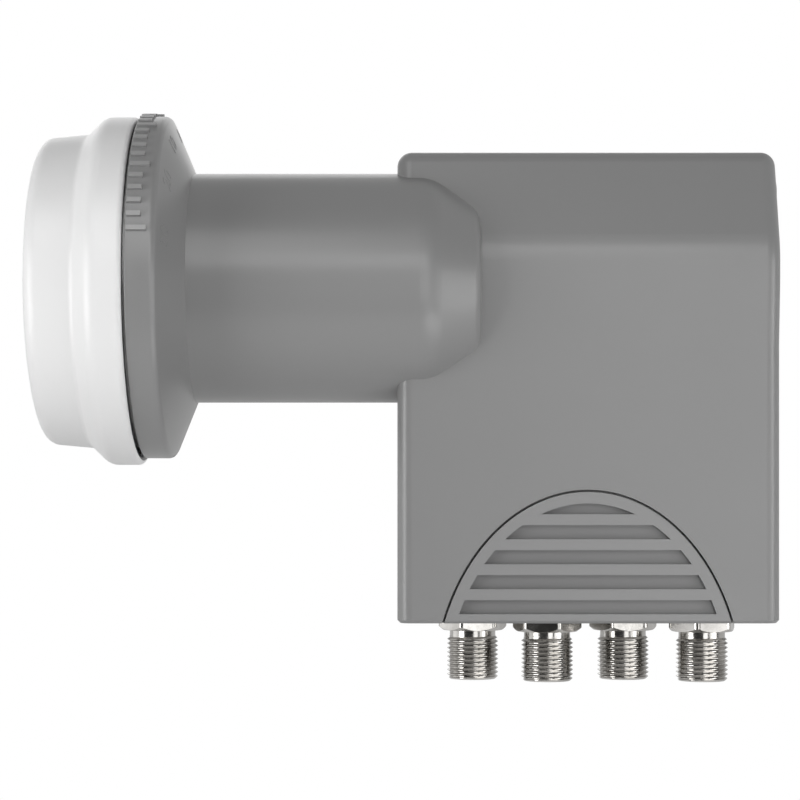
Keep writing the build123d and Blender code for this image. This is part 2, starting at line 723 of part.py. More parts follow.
def port_hole(x, y):
    """A hole in the chamber's floor for one output, with its seal's seat."""
    hole = upright(Circle(SHANK_R + HOLE_GAP / 2), CAST_BOTTOM - 1, FLOOR_TOP + BOARD)
    seat_top = CAST_BOTTOM + O_RING_THICK + HOLE_GAP
    seat = upright(Circle(O_RING_OUTER_R + HOLE_GAP), CAST_BOTTOM - 1, seat_top)
    return Pos(x, y, 0) * (hole + seat)


def make_chamber():
    wall, floor = CAST_WALL, CAST_FLOOR
    chamber = slab(far_outline(), WEB_NEAR, FAR_RIM)
    chamber += slab(near_outline(), NEAR_RIM, WEB_FAR)
    chamber += guide_block()
    chamber -= slab(far_outline(wall, floor), WEB_FAR, FAR_RIM + 1)
    chamber -= slab(near_outline(wall, floor), NEAR_RIM - 1, WEB_NEAR)
    pillars = [rod_y(x, z, PILLAR_R, NEAR_RIM, WEB_FAR) for x, z in NEAR_SCREWS]
    pillars += [rod_y(x, z, PILLAR_R, WEB_NEAR, FAR_RIM) for x, z in FAR_SCREWS]
    chamber = joined(chamber, pillars) - guide_hollow()
    depth = SCREW_LENGTH + 1
    for x, z in NEAR_SCREWS:
        chamber -= rod_y(x, z, SCREW_R + HOLE_GAP, NEAR_RIM - 1, NEAR_RIM + depth)
    for x, z in FAR_SCREWS:
        chamber -= rod_y(x, z, SCREW_R + HOLE_GAP, FAR_RIM - depth, FAR_RIM + 1)
    for x, z in board_places(NEAR_SCREW_SPOTS + FAR_SCREW_SPOTS):
        chamber -= rod_y(x, z, SCREW_R + HOLE_GAP, WEB_NEAR - 1, WEB_FAR + 1)
    for cut in probe_holes():
        chamber -= cut
    for x, y in PORT_SPOTS:
        chamber -= port_hole(x, y)
    return chamber.solid()


def make_gasket(outline, screws, y0, y1):
    inset = GASKET_INSET
    frame = slab(outline(inset) - outline(CAST_WALL - inset), y0, y1)
    pads = [rod_y(x, z, PILLAR_R, y0, y1) for x, z in screws]
    frame = joined(frame, pads) & slab(outline(inset), y0, y1)
    for x, z in screws:
        frame -= rod_y(x, z, SCREW_R + 2 * HOLE_GAP, y0 - 1, y1 + 1)
    return frame.solid()


def lid_screw(grow=0.0):
    """A countersunk screw, head at Y 0 and tip towards +Y."""
    head_r, shank_r = SCREW_HEAD_R + grow, SCREW_R + grow
    line = Polyline(
        (0, 0),
        (head_r, 0),
        (shank_r, SCREW_HEAD_DEPTH),
        (shank_r, SCREW_LENGTH),
        (0, SCREW_LENGTH),
        close=True,
    )
    return revolve(make_face(line), Axis.Y)


def lid_screw_places():
    near_top, far_top = NEAR_RIM - GASKET - LID, FAR_RIM + GASKET + LID
    places = [Pos(x, near_top, z) for x, z in NEAR_SCREWS]
    return places + [Pos(x, far_top, z) * Rot(180, 0, 0) for x, z in FAR_SCREWS]


def make_lid(outline, y0, y1):
    lid = slab(outline(), y0, y1)
    for place in lid_screw_places():
        lid -= place * lid_screw(HOLE_GAP)
    return lid


def make_far_lid():
    lid = make_lid(far_outline, FAR_RIM + GASKET, FAR_RIM + GASKET + LID)
    for x, z in puck_spots():
        lid -= rod_y(x, z, TUNER_R + HOLE_GAP, FAR_RIM, FAR_RIM + 2 * LID + GASKET)
    return lid.solid()


def make_near_lid():
    return make_lid(near_outline, NEAR_RIM - GASKET - LID, NEAR_RIM - GASKET).solid()


# Boards and their components


def board_places(spots):
    """Places on a board, from distances left of and below the chamber's upper corner."""
    return [(CAST_RIGHT - left, CAST_TOP - down) for left, down in spots]


def make_board(outline, pillars, spots, y0, y1):
    board = slab(outline(CAST_WALL + BOARD_EDGE_GAP, CAST_FLOOR + BOARD_EDGE_GAP), y0, y1)
    for x, z in pillars:
        board -= rod_y(x, z, PILLAR_R + BOARD_EDGE_GAP, y0 - 1, y1 + 1)
    for x, z in board_places(spots):
        board -= rod_y(x, z, SCREW_R + HOLE_GAP, y0 - 1, y1 + 1)
    return board


def make_far_board():
    board = make_board(far_outline, FAR_SCREWS, FAR_SCREW_SPOTS, FAR_BOARD - BOARD, FAR_BOARD)
    wire_z = -GUIDE_OUTER_R - BENT_DROP
    for x, z in ((PROBE_SPOT_X, 0), (BENT_SPOT_X, wire_z)):
        board -= rod_y(x, z, PROBE_R + HOLE_GAP, FAR_BOARD - BOARD - 1, FAR_BOARD + 1)
    return board.solid()


def make_near_board():
    board = make_board(near_outline, NEAR_SCREWS, NEAR_SCREW_SPOTS, NEAR_BOARD, NEAR_BOARD + BOARD)
    return board.solid()


def board_screw():
    """A pan-headed screw, under its head at Y 0 and tip towards +Y."""
    length = BOARD + BOARD_GAP + WEB
    return rod_y(0, 0, 2 * SCREW_R, -SCREW_R, 0) + rod_y(0, 0, SCREW_R, 0, length)


def make_board_screws():
    near = [Pos(x, NEAR_BOARD, z) for x, z in board_places(NEAR_SCREW_SPOTS)]
    far = [Pos(x, FAR_BOARD, z) * Rot(180, 0, 0) for x, z in board_places(FAR_SCREW_SPOTS)]
    return group([place * board_screw() for place in near + far])


def make_straight_probe():
    probe = rod_y(PROBE_SPOT_X, 0, PROBE_R, PROBE_DEPTH, FAR_BOARD)
    return probe.solid()


def make_bent_probe():
    """From the far board across under the wave guide, then up into it."""
    wire_z = -GUIDE_OUTER_R - BENT_DROP
    route = FilletPolyline(
        (BENT_SPOT_X, FAR_BOARD, wire_z),
        (BENT_SPOT_X, 0, wire_z),
        (BENT_SPOT_X, 0, -PROBE_DEPTH),
        radius=2 * PROBE_R,
    )
    start = Plane(origin=(BENT_SPOT_X, FAR_BOARD, wire_z), z_dir=(0, -1, 0))
    return sweep(start * Circle(PROBE_R), path=route).solid()


def make_probe_beads():
    """Plastic beads that hold the probes clear of the casting."""
    wire_z = -GUIDE_OUTER_R - BENT_DROP
    hole = PROBE_R + HOLE_GAP / 2
    outer = BEAD_R - HOLE_GAP / 2
    straight = rod_y(PROBE_SPOT_X, 0, outer, GUIDE_R, WEB_FAR)
    straight -= rod_y(PROBE_SPOT_X, 0, hole, GUIDE_R - 1, WEB_FAR + 1)
    web = rod_y(BENT_SPOT_X, wire_z, outer, WEB_NEAR, WEB_FAR)
    web -= rod_y(BENT_SPOT_X, wire_z, hole, WEB_NEAR - 1, WEB_FAR + 1)
    entry = upright(Circle(outer) - Circle(hole), -GUIDE_OUTER_R, -GUIDE_R)
    return group([straight, web, Pos(BENT_SPOT_X, 0, 0) * entry])


def make_isolation_pin():
    return rod_y(PIN_SPOT_X, 0, PIN_R - HOLE_GAP / 2, -GUIDE_OUTER_R, WEB_FAR).solid()


def fence_sides():
    """Left, right, lower and upper side of the shield fence."""
    left, top = board_places([FENCE_SPOT])[0]
    return left, left + FENCE_WIDTH, top - FENCE_LENGTH, top


def puck_spots():
    """The middle of each half of the shield fence."""
    x0, x1, z0, z1 = fence_sides()
    return [(x0 + (x1 - x0) * share, (z0 + z1) / 2) for share in (0.25, 0.75)]


def make_puck(spot):
    x, z = spot
    ring = rod_y(x, z, PUCK_R, FAR_BOARD, FAR_BOARD + PUCK_HEIGHT)
    return (ring - rod_y(x, z, PUCK_R / 3, FAR_BOARD - 1, FAR_BOARD + PUCK_HEIGHT + 1)).solid()


def make_tuning_screws():
    """Slotted screws in the far lid, one over each puck."""
    top = FAR_RIM + GASKET + LID
    screws = []
    for x, z in puck_spots():
        screw = rod_y(x, z, TUNER_R, top - TUNER_LENGTH, top)
        half = TUNER_SLOT / 2
        slot = block(x - TUNER_R, x + TUNER_R, top - LID / 2, top + 1, z - half, z + half)
        screws.append(screw - slot)
    return group(screws)


def make_shield_fence():
    """A sheet metal fence round the two oscillators, with a wall between them."""
    x0, x1, z0, z1 = fence_sides()
    t = FENCE_THICK
    ring = rect(x0, x1, z0, z1) - rect(x0 + t, x1 - t, z0 + t, z1 - t)
    middle = (x0 + x1) / 2
    ring += rect(middle - t / 2, middle + t / 2, z0, z1)
    return slab(ring, FAR_BOARD, FAR_BOARD + FENCE_HEIGHT).solid()


def chip(x, z, size, height, legs, leg_size, face, way):
    """A package with legs along two sides, standing on a board face."""
    top = face + way * height
    body = slab(rect(x - size / 2, x + size / 2, z - size / 2, z + size / 2), *sorted((face, top)))
    foot = sorted((face, face + way * height / 3))
    for leg in range(legs):
        leg_x = x + (leg - (legs - 1) / 2) * size / legs
        reach = size / 2 + leg_size
        outline = rect(leg_x - leg_size / 3, leg_x + leg_size / 3, z - reach, z + reach)
        body += slab(outline, *foot)
    return body


def make_far_chips(spots, package):
    places = board_places(spots)
    return group([chip(x, z, **package, face=FAR_BOARD, way=1) for x, z in places])


def make_near_chips(spots, package):
    places = board_places(spots)
    return group([chip(x, z, **package, face=NEAR_BOARD, way=-1) for x, z in places])


def make_capacitors():
    """Cans on square bases, beside the outputs of the near board."""
    cans = []
    half = CAPACITOR_R + CAPACITOR_BASE_EDGE
    foot = NEAR_BOARD - CAPACITOR_BASE
    for x, z in board_places(CAPACITOR_SPOTS):
        base = slab(rect(x - half, x + half, z - half, z + half), foot, NEAR_BOARD)
        can = rod_y(x, z, CAPACITOR_R, NEAR_BOARD - CAPACITOR_HEIGHT, foot)
        cans.append(base + can)
    return group(cans)


# Outputs


def make_port_body(turn):
    shape = lathe(
        [
            (PORT_BORE_R, PORT_END_Z),
            (THREAD_R - THREAD_CHAMFER, PORT_END_Z),
            (THREAD_R, PORT_END_Z + THREAD_CHAMFER),
            (THREAD_R, HEX_BOTTOM - RELIEF_LENGTH),
            (RELIEF_R, HEX_BOTTOM - RELIEF_LENGTH),
            (RELIEF_R, CAST_BOTTOM),
            (SHANK_R, CAST_BOTTOM),
            (SHANK_R, FLOOR_TOP),
            (PORT_BORE_R, FLOOR_TOP),
        ]
    )
    hexagon = RegularPolygon(HEX_FLATS / 2, 6, major_radius=False, rotation=turn)
    nut = upright(hexagon - Circle(PORT_BORE_R), HEX_BOTTOM, CAST_BOTTOM)
    corner = HEX_FLATS / 2 * 2 / 3**0.5
    rounding = lathe(
        [
            (0, HEX_BOTTOM),
            (HEX_FLATS / 2, HEX_BOTTOM),
            (corner, HEX_BOTTOM + HEX_CHAMFER),
            (corner, CAST_BOTTOM),
            (0, CAST_BOTTOM),
        ]
    )
    return shape + (nut & rounding)


def make_port_insulator():
    """A plug of white plastic with a stepped hole that traps the contact."""
    front = PORT_END_Z + PORT_LIP
    socket_low, socket_high = contact_socket()
    narrow = CONTACT_PIN_R + HOLE_GAP
    wide = CONTACT_R + HOLE_GAP
    return lathe(
        [
            (narrow, front),
            (PORT_BORE_R - HOLE_GAP / 2, front),
            (PORT_BORE_R - HOLE_GAP / 2, FLOOR_TOP),
            (narrow, FLOOR_TOP),
            (narrow, socket_high + HOLE_GAP),
            (wide, socket_high + HOLE_GAP),
            (wide, socket_low - HOLE_GAP),
            (narrow, socket_low - HOLE_GAP),
        ]
    )


def contact_socket():
    """Ends of the spring socket that takes the cable's core."""
    low = PORT_END_Z + 2.3 * PORT_LIP
    return low, HEX_BOTTOM + PORT_LIP


def make_port_contact():
    low, high = contact_socket()
    return lathe(
        [
            (CONTACT_BORE_R, low),
            (CONTACT_R, low),
            (CONTACT_R, high),
            (CONTACT_PIN_R, high),
            (CONTACT_PIN_R, CONTACT_TOP_Z),
            (0, CONTACT_TOP_Z),
            (0, high - 1),
            (CONTACT_BORE_R, high - 1),
        ]
    )


def make_port_seal():
    ring = Circle(O_RING_OUTER_R) - Circle(SHANK_R + HOLE_GAP)
    return upright(ring, CAST_BOTTOM, CAST_BOTTOM + O_RING_THICK)


def make_ports():
    """Body, insulator, contact and seal of each output."""
    pieces = {}
    for index, ((x, y), turn) in enumerate(zip(PORT_SPOTS, PORT_TURNS_DEG), start=1):
        place = Pos(x, y, 0)
        pieces[f"output_body_{index}"] = (place * make_port_body(turn)).solid()
        pieces[f"output_insulator_{index}"] = (place * make_port_insulator()).solid()
        pieces[f"output_contact_{index}"] = (place * make_port_contact()).solid()
        pieces[f"output_seal_{index}"] = (place * make_port_seal()).solid()
    return pieces


def make_pieces():
    low_spot, high_spot = puck_spots()
    pieces = {
        "front_shroud": make_shroud(),
        "rear_cover": make_rear_cover(),
        "weather_slider": make_weather_slider(),
        "horn_cap": make_cap(),
        "cap_seal": make_cap_seal(),
        "horn_casting": make_horn(),
        "chamber_casting": make_chamber(),
        "near_gasket": make_gasket(near_outline, NEAR_SCREWS, NEAR_RIM - GASKET, NEAR_RIM),
        "far_gasket": make_gasket(far_outline, FAR_SCREWS, FAR_RIM, FAR_RIM + GASKET),
        "near_lid": make_near_lid(),
        "far_lid": make_far_lid(),
        "lid_screws": group([place * lid_screw() for place in lid_screw_places()]),
        "far_board": make_far_board(),
        "near_board": make_near_board(),
        "board_screws": make_board_screws(),
        "straight_probe": make_straight_probe(),
        "bent_probe": make_bent_probe(),
        "probe_beads": make_probe_beads(),
        "isolation_pin": make_isolation_pin(),
        "low_band_puck": make_puck(low_spot),
        "high_band_puck": make_puck(high_spot),
        "tuning_screws": make_tuning_screws(),
        "shield_fence": make_shield_fence(),
        "front_end_transistors": make_far_chips(TRANSISTOR_SPOTS, TRANSISTOR),
        "mixer_chips": make_far_chips(MIXER_SPOTS, MIXER),
        "switch_chip": make_near_chips(SWITCH_SPOTS, SWITCH),
        "regulators": make_near_chips(REGULATOR_SPOTS, REGULATOR),
        "smoothing_capacitors": make_capacitors(),
    }
    pieces.update(make_ports())
    return pieces


os.makedirs("parts", exist_ok=True)
for name, piece in make_pieces().items():
    export_step(piece, f"parts/{name}.step")
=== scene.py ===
import json
from math import atan2, cos, pi, radians, sin

import bmesh
import bpy
from mathutils import Matrix, Vector

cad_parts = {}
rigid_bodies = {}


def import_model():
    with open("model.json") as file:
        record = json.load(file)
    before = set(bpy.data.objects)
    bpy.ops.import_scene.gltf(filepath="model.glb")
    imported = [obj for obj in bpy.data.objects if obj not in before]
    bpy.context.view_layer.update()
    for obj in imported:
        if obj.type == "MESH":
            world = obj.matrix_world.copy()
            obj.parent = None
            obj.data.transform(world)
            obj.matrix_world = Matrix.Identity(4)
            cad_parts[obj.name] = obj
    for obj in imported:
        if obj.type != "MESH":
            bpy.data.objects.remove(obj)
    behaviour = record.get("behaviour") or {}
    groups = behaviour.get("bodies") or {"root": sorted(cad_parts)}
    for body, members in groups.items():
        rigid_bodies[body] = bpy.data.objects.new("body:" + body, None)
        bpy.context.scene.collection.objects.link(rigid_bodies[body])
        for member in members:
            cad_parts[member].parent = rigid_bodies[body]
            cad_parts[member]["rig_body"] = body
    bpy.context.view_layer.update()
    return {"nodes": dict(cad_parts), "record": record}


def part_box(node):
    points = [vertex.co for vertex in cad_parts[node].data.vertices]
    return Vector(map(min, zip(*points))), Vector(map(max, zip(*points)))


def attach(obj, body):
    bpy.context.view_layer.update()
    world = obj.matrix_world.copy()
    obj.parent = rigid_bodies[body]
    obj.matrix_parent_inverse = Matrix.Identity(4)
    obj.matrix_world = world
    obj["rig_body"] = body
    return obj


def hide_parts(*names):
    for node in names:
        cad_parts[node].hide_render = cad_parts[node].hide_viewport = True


# The looks of a satellite receiver head: a grey moulded box on a clamp neck, a white horn
# cap, a scale round the flange and four threaded outputs below. Metres, X along the neck,
# Z up and -Y towards the camera.

MM = 0.001

# Camera, as the photograph was taken: level, with the horizon below the middle
CAMERA_PLACE = Vector((0.0181, -0.362, -0.03713))
CAMERA_LENS_MM = 92.61
CAMERA_SENSOR_MM = 36
CAMERA_SHIFT_Y = 0.125
CAMERA_NEAR = 0.01

# Floor, well below the part, which hangs by its neck
FLOOR_MIDDLE_X = 0.02
FLOOR_DROP = 0.35
FLOOR_RADIUS = 0.6
FLOOR_SIDES = 96
FLOOR_GREY = 0.86
FLOOR_ROUGHNESS = 0.9
FLOOR_GLOW = 0.35

# Lamps, which all look at one point. Each has its azimuth to the right of the camera and
# its elevation in degrees, its distance and size in metres, and its power in watts.
LAMP_TARGET = Vector((0.02, 0.0, -0.02))
LAMPS = {
    "front softbox": (15, -1, 0.8, (0.3, 0.45), 0.88),
    "far right softbox": (44, -1, 0.8, (0.25, 0.45), 0.58),
    "right softbox": (62, -4, 0.5, (0.15, 0.3), 0.6),
    "left softbox": (-60, -2, 0.34, (0.14, 0.24), 0.56),
    "upper softbox": (-24, 40, 0.34, (0.18, 0.14), 0.18),
    "strip softbox": (4, 24, 0.5, (0.3, 0.1), 0.34),
    "low softbox": (40, -33, 0.42, (0.3, 0.14), 0.37),
    "wide left softbox": (-95, 0, 0.5, (0.45, 0.35), 0.3),
    "back softbox": (190, 25, 0.8, (0.6, 0.5), 0.9),
}

# World, by Y of the way that is looked: (Y, other Y, strength there, strength at the other)
ROOM_LIGHT = (0.3, -0.9, 0.12, 0.06)
MIRRORED_LIGHT = (-0.35, 0.1, 0.05, 0.8)

# Moulded plastics: grey, its share of change, roughness, grain in cells per metre, its depth
SHELL_PLASTIC = (0.229, 0.012, 0.3, 1400, 0.012 * MM)
SLEEVE_PLASTIC = (0.245, 0.012, 0.3, 1400, 0.012 * MM)
CAP_PLASTIC = (0.78, 0.004, 0.34, 900, 0.006 * MM)
CLOUD_SCALE = 25
GLOSS_SCALE = 90
GLOSS_CHANGE = 0.012
GRAIN_DETAIL = 2
GRAIN_EDGE = 0.6
GRAIN_STRENGTH = 0.35
PLASTIC_IOR = 1.5

# Metals: lighter and darker colour, roughness, grain in cells per metre, its depth. The
# clouds and the gloss have their cells per metre and their detail.
METALS = {
    "cast_metal": ((0.62, 0.62, 0.62), (0.5, 0.5, 0.5), 0.45, 1500, 0.04 * MM),
    "plated_nickel": ((0.6, 0.585, 0.565), (0.42, 0.41, 0.39), 0.16, 2400, 0.02 * MM),
    "contact_gold": ((0.78, 0.6, 0.3), (0.7, 0.52, 0.24), 0.25, 2400, 0.01 * MM),
    "sheet_tin": ((0.68, 0.68, 0.68), (0.58, 0.58, 0.58), 0.35, 1200, 0.02 * MM),
}
METAL_CLOUDS = (220, 4)
METAL_GLOSS = (900, 3)
METAL_SMOOTHER = 0.05
METAL_ROUGHER = 0.07
METAL_GRAIN_DETAIL = 3
METAL_STRENGTH = 0.4

# Other solids: lighter and darker colour, roughness, clouds in cells per metre
SOLIDS = {
    "seal_black": ((0.03, 0.03, 0.03), (0.02, 0.02, 0.02), 0.7, 400),
    "insulator_white": ((0.78, 0.78, 0.78), (0.7, 0.7, 0.7), 0.4, 300),
    "chip_black": ((0.035, 0.035, 0.035), (0.025, 0.025, 0.025), 0.55, 500),
    "puck_ceramic": ((0.72, 0.62, 0.46), (0.62, 0.53, 0.4), 0.6, 500),
}
SOLID_CLOUD_DETAIL = 3
SOLID_GRAIN_FINER = 4
SOLID_STRENGTH = 0.2
SOLID_DEPTH = 0.02 * MM

# Circuit boards: two tones of solder mask, the paler copper runs under it, and the
# pattern's scale per metre, the runs' share of it and their height
BOARD_MASK = ((0.03, 0.15, 0.06, 1), (0.04, 0.19, 0.08, 1))
BOARD_RUNS = (0.10, 0.30, 0.13, 1)
BOARD_SCALE = 160
BOARD_RUN_WIDTH = 0.06
BOARD_RUN_HEIGHT = 0.03 * MM
BOARD_STRENGTH = 0.3
BOARD_ROUGHNESS = 0.3

# Where most of a noise lies
NOISE_LOW = 0.3
NOISE_HIGH = 0.7

# Meshes made here: points closer than this are one, and sharper edges than this stay sharp
WELD = 0.0005 * MM
SHARP_DEG = 28

# Threads of the outputs, whose flats are shares of the pitch
THREAD_PITCH = 0.79375 * MM
THREAD_CREST_R = 4.62 * MM
THREAD_ROOT_R = 4.14 * MM
THREAD_CREST_FLAT = 0.06
THREAD_ROOT_FLAT = 0.1
THREAD_FLANK = (1 - THREAD_CREST_FLAT - THREAD_ROOT_FLAT) / 2
THREAD_FLANK_STEPS = 4
THREAD_COLUMNS = 120

# Faces of the outputs' hexagons
HEX_TURNS_DEG = (8.5, -13.5, 7.0, 14.5)
HEX_FLATS = 11.0 * MM
HEX_CORNER_R = 6.22 * MM
HEX_THICK = 3.0 * MM
HEX_CHAMFER = 0.62 * MM
HEX_FACE_INSET = 0.1 * MM
HEX_FACE_STEP = 0.05 * MM
RELIEF_LENGTH = 1.1 * MM
SHANK_R = 4.0 * MM
BORE_R = 3.1 * MM
LIP_CHAMFER = 0.25 * MM

# Marks of the scale, which stand out past the flange; their tops carry a painted highlight, a
# paler grey
MARK_LOW_R = 30.0 * MM
MARK_HIGH_R = 30.2 * MM
MARK_END_X = -22.0 * MM
MARK_HIGHLIGHT_GREY = 0.3

# Seam between the cap and the flange, with painted shade inside: a near-black grey on the
# faces in the gap
SEAM_CAP_X = -27.01 * MM
SEAM_FLANGE_X = -26.58 * MM
SEAM_SHADE_GREY = 0.01

# Finger slots in the sleeve's grip, by their distance from the box's middle plane, and the
# painted shade that darkens them: where it fades in and its share of the grey
SLOT_MID_Y = 10.0 * MM
SLOT_FACE = 21.2 * MM
SLOT_DEPTH = 1.25 * MM
SLOT_PAST = 0.1 * MM
SLOT_SHADE_FROM = 0.02 * MM
SLOT_SHADE_TO = 0.3 * MM
SLOT_SHADE_SHARE = 0.77

# The flange's cone, by (X, radius) at its outer corner and at the neck
CONE_CORNER = (-21.75 * MM, 29.8 * MM)
CONE_NECK = (-17.65 * MM, 20.0 * MM)

# Numerals on the cone, by their angle from the top, and the type's size for its height
NUMERAL_HEIGHT = 2.7 * MM
TYPE_SHARE = 1.4
NUMERAL_RAISE = 0.06 * MM
NUMERAL_RADIUS = 26.4 * MM
NUMERAL_CURVE_STEPS = 3
SCALE_TURN_DEG = 5.4
SCALE_EVERY_DEG = 23.75
SCALE_COUNTS = 10
SCALE_STEPS = 3


# Materials


def node_material(name):
    """A new material, its node tree and its shader."""
    material = bpy.data.materials.new(name)
    material.use_nodes = True
    tree = material.node_tree
    return material, tree, tree.nodes["Principled BSDF"]


def grey(level):
    return (level, level, level)


def own_place(tree):
    """The place in the object's own coordinates."""
    return tree.nodes.new("ShaderNodeTexCoord").outputs["Object"]


def axes(tree, place):
    """X, Y and Z of a place, by name."""
    split = tree.nodes.new("ShaderNodeSeparateXYZ")
    tree.links.new(place, split.inputs["Vector"])
    return split.outputs


def calculate(tree, operation, *values):
    """A Math node on values, each of which is a socket or a number."""
    node = tree.nodes.new("ShaderNodeMath")
    node.operation = operation
    for value, socket in zip(values, node.inputs):
        if isinstance(value, (int, float)):
            socket.default_value = value
        else:
            tree.links.new(value, socket)
    return node.outputs["Value"]


def remap(tree, value, from_min, from_max, to_min=0.0, to_max=1.0):
    """A value mapped from one range to another, held at both ends."""
    node = tree.nodes.new("ShaderNodeMapRange")
    node.inputs["From Min"].default_value = from_min
    node.inputs["From Max"].default_value = from_max
    node.inputs["To Min"].default_value = to_min
    node.inputs["To Max"].default_value = to_max
    tree.links.new(value, node.inputs["Value"])
    return node.outputs["Result"]


def noise(tree, scale, detail=2.0, roughness=0.5):
    """Noise in the object's own coordinates, scale in cells per metre."""
    texture = tree.nodes.new("ShaderNodeTexNoise")
    texture.inputs["Scale"].default_value = scale
    texture.inputs["Detail"].default_value = detail
    texture.inputs["Roughness"].default_value = roughness
    tree.links.new(own_place(tree), texture.inputs["Vector"])
    return texture.outputs["Fac"]


def spread(tree, value, low, high):
    """A noise's usual range mapped to a narrow one."""
    return remap(tree, value, NOISE_LOW, NOISE_HIGH, low, high)


def tint(tree, value, dark, light):
    """A colour between two, by a noise."""
    ramp = tree.nodes.new("ShaderNodeValToRGB")
    low, high = ramp.color_ramp.elements
    low.position, high.position = NOISE_LOW, NOISE_HIGH
    low.color, high.color = (*dark, 1), (*light, 1)
    tree.links.new(value, ramp.inputs["Fac"])
    return ramp.outputs["Color"]


def bump(tree, shader, height, strength, depth):
    """Bump by a height, with its depth in metres."""
    node = tree.nodes.new("ShaderNodeBump")
    node.inputs["Strength"].default_value = strength
    node.inputs["Distance"].default_value = depth
    tree.links.new(height, node.inputs["Height"])
    tree.links.new(node.outputs["Normal"], shader.inputs["Normal"])


def tone_over(tree, shader, share, level, blend="MIX"):
    """Another grey over the shader's colour, by a share from 0 to 1."""
    mix = tree.nodes.new("ShaderNodeMix")
    mix.data_type = "RGBA"
    mix.blend_type = blend
    below, above = [socket for socket in mix.inputs if socket.type == "RGBA"]
    result = [socket for socket in mix.outputs if socket.type == "RGBA"][0]
    tree.links.new(share, mix.inputs["Factor"])
    tree.links.new(shader.inputs["Base Color"].links[0].from_socket, below)
    above.default_value = (*grey(level), 1)
    tree.links.new(result, shader.inputs["Base Color"])


def marks_painted_highlight(tree, shader):
    """A painted highlight, a paler tone on the scale's marks: past a radius about the neck,
    left of an end.
    """
    place = own_place(tree)
    across = tree.nodes.new("ShaderNodeVectorMath")
    across.operation = "MULTIPLY"
    across.inputs[1].default_value = (0, 1, 1)
    tree.links.new(place, across.inputs[0])
    reach = tree.nodes.new("ShaderNodeVectorMath")
    reach.operation = "LENGTH"
    tree.links.new(across.outputs["Vector"], reach.inputs[0])
    raised = remap(tree, reach.outputs["Value"], MARK_LOW_R, MARK_HIGH_R)
    left = calculate(tree, "LESS_THAN", axes(tree, place)["X"], MARK_END_X)
    tone_over(tree, shader, calculate(tree, "MULTIPLY", raised, left), MARK_HIGHLIGHT_GREY)


def painted_seam_shade(tree, shader, compare, edge):
    """Painted shade inside the seam: a near-black tone where X is less or greater than the
    edge.
    """
    inside = calculate(tree, compare, axes(tree, own_place(tree))["X"], edge)
    tone_over(tree, shader, inside, SEAM_SHADE_GREY)


def shell_plastic():
    """Grey moulded plastic, with a painted highlight on the scale's marks and painted shade
    in the seam.
    """
    material, tree, shader = moulded_plastic("shell grey", *SHELL_PLASTIC)
    # painted highlight: the tops of the scale's marks are made paler
    marks_painted_highlight(tree, shader)
    # painted shade: the flange's front face in the seam is made near-black
    painted_seam_shade(tree, shader, "LESS_THAN", SEAM_FLANGE_X)
    return material


def sleeve_plastic():
    """Grey moulded plastic, with painted shade darkening the finger slots."""
    material, tree, shader = moulded_plastic("sleeve grey", *SLEEVE_PLASTIC)
    away = calculate(tree, "SUBTRACT", axes(tree, own_place(tree))["Y"], SLOT_MID_Y)
    reach = calculate(tree, "ABSOLUTE", away)
    deep = remap(tree, reach, SLOT_FACE - SLOT_SHADE_FROM, SLOT_FACE - SLOT_SHADE_TO)
    outer = calculate(tree, "GREATER_THAN", reach, SLOT_FACE - SLOT_DEPTH - SLOT_PAST)
    # painted shade: the slots' floors and walls are darkened by a share of their grey
    tone_over(tree, shader, calculate(tree, "MULTIPLY", deep, outer), SLOT_SHADE_SHARE, "MULTIPLY")
    return material


def cap_plastic():
    """White moulded plastic of the cap, with painted shade in the seam."""
    material, tree, shader = moulded_plastic("cap white", *CAP_PLASTIC)
    # painted shade: the cap's end face in the seam is made near-black
    painted_seam_shade(tree, shader, "GREATER_THAN", SEAM_CAP_X)
    return material


def moulded_plastic(name, level, change, roughness, grain, depth):
    """Moulded plastic with an eroded grain and a faint cloudiness."""
    material, tree, shader = node_material(name)
    dark, light = grey(level * (1 - change)), grey(level * (1 + change))
    colour = tint(tree, noise(tree, CLOUD_SCALE), dark, light)
    tree.links.new(colour, shader.inputs["Base Color"])
    low, high = roughness - GLOSS_CHANGE, roughness + GLOSS_CHANGE
    gloss = spread(tree, noise(tree, GLOSS_SCALE), low, high)
    tree.links.new(gloss, shader.inputs["Roughness"])
    shader.inputs["IOR"].default_value = PLASTIC_IOR
    height = noise(tree, grain, GRAIN_DETAIL, GRAIN_EDGE)
    bump(tree, shader, height, GRAIN_STRENGTH, depth)
    return material, tree, shader


def metal(name, light, dark, roughness, grain, depth):
    """Plated or cast metal with a fine uneven surface."""
    material, tree, shader = node_material(name)
    colour = tint(tree, noise(tree, *METAL_CLOUDS), dark, light)
    tree.links.new(colour, shader.inputs["Base Color"])
    shader.inputs["Metallic"].default_value = 1.0
    low, high = roughness - METAL_SMOOTHER, roughness + METAL_ROUGHER
    gloss = spread(tree, noise(tree, *METAL_GLOSS), low, high)
    tree.links.new(gloss, shader.inputs["Roughness"])
    bump(tree, shader, noise(tree, grain, METAL_GRAIN_DETAIL), METAL_STRENGTH, depth)
    return material


def plain_solid(name, light, dark, roughness, scale):
    """A non-metal with slight variation, for the pieces inside."""
    material, tree, shader = node_material(name)
    colour = tint(tree, noise(tree, scale, SOLID_CLOUD_DETAIL), dark, light)
    tree.links.new(colour, shader.inputs["Base Color"])
    shader.inputs["Roughness"].default_value = roughness
    height = noise(tree, SOLID_GRAIN_FINER * scale)
    bump(tree, shader, height, SOLID_STRENGTH, SOLID_DEPTH)
    return material


